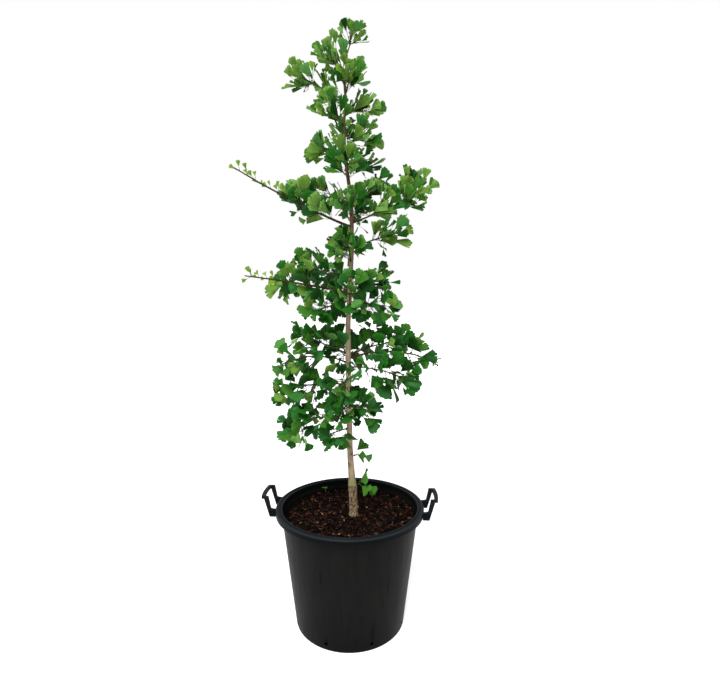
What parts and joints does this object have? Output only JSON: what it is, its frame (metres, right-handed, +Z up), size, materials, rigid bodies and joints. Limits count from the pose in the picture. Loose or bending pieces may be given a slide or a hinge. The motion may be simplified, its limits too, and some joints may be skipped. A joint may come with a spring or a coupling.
{
  "type": "potted ginkgo tree",
  "caption": "Young ginkgo tree about two metres tall with fan-shaped leaves, standing in a round tapered black plastic nursery pot with two moulded loop handles.",
  "frame": {"origin": "Centre of the pot's flat underside, where the part stands.", "axes": "+Z runs up along the tree, -Y faces the front, +X is to the right when seen from the front."},
  "size_m": [0.6645, 0.5009, 1.971],
  "materials": {
    "pot": "satin black moulded polypropylene",
    "soil": "dark brown composted bark",
    "bark": "grey-tan young bark with dark knots",
    "leaves": "soft matt green leaf"
  },
  "bodies": {
    "root": {"pot": "pot", "handle_right": "pot", "handle_left": "pot", "soil": "soil", "trunk": "bark", "bough_low_left": "bark", "bough_second_left": "bark", "bough_second_left_low": "bark", "bough_second_right": "bark", "bough_second_right_low": "bark", "bough_second_back": "bark", "bough_third_left": "bark", "bough_fourth_left": "bark", "bough_fourth_right": "bark", "bough_fourth_right_low": "bark", "bough_fourth_back": "bark", "foliage_sprout_foot": "leaves", "foliage_sprout_low": "leaves", "foliage_low_left": "leaves", "foliage_low_left_front": "leaves", "foliage_low_right": "leaves", "foliage_low_back": "leaves", "foliage_low_front": "leaves", "foliage_second_left": "leaves", "foliage_second_left_low": "leaves", "foliage_second_left_high": "leaves", "foliage_second_right": "leaves", "foliage_second_right_high": "leaves", "foliage_second_right_low": "leaves", "foliage_second_back": "leaves", "foliage_second_front": "leaves", "foliage_third_left": "leaves", "foliage_third_left_high": "leaves", "foliage_third_left_low": "leaves", "foliage_third_right": "leaves", "foliage_third_right_high": "leaves", "foliage_third_front": "leaves", "foliage_third_back": "leaves", "foliage_inner_front": "leaves", "foliage_inner_back": "leaves", "foliage_fourth_left": "leaves", "foliage_fourth_right": "leaves", "foliage_fourth_right_low": "leaves", "foliage_fourth_front": "leaves", "foliage_fourth_back": "leaves", "foliage_fourth_left_high": "leaves", "foliage_fourth_right_high": "leaves", "foliage_upper_left": "leaves", "foliage_leader_tip": "leaves", "foliage_column_1": "leaves", "foliage_column_2": "leaves", "foliage_column_3": "leaves", "foliage_column_4": "leaves", "foliage_column_5": "leaves", "foliage_column_6": "leaves", "foliage_column_7": "leaves", "foliage_column_8": "leaves", "foliage_column_9": "leaves", "foliage_column_10": "leaves", "foliage_column_11": "leaves"}
  },
  "joints": []
}
